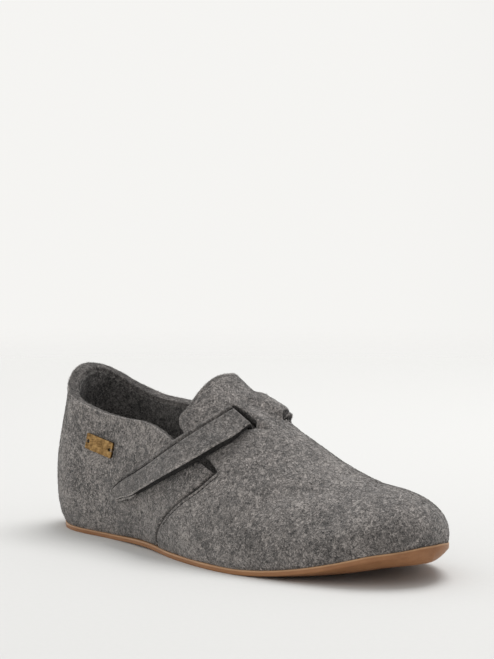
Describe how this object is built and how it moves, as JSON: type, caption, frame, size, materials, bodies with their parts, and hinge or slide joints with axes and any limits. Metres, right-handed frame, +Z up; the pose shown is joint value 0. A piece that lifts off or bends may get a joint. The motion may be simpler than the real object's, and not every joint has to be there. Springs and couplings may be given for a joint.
{
  "type": "felt house slipper",
  "caption": "Low felt house slipper with a closed heel, a wide throat with a tongue, a diagonal hook-and-loop strap over the instep, a bare metal tag and a thin sole turned up at the toe.",
  "frame": {"origin": "on the floor under the middle of the shoe's bounding box", "axes": "+X from heel to toe, -Y the outer side of the right foot, +Z up; the shoe stands on z = 0"},
  "size_m": [0.261, 0.0942, 0.0912],
  "materials": {
    "grey_felt": "heathered wool felt, matt and slightly fuzzy",
    "strap_felt": "pressed wool felt, matt",
    "insole_felt": "dark felt, matt",
    "tan_sole": "tan sheet, satin, with faint streaks along the foot",
    "hook_tape": "black woven tape, matt",
    "aged_brass": "brushed and darkened at the edges"
  },
  "bodies": {
    "root": {"outsole": "tan_sole", "insole": "insole_felt", "upper": "grey_felt", "strap": "strap_felt", "hook_tape": "hook_tape", "plate": "aged_brass"}
  },
  "joints": []
}
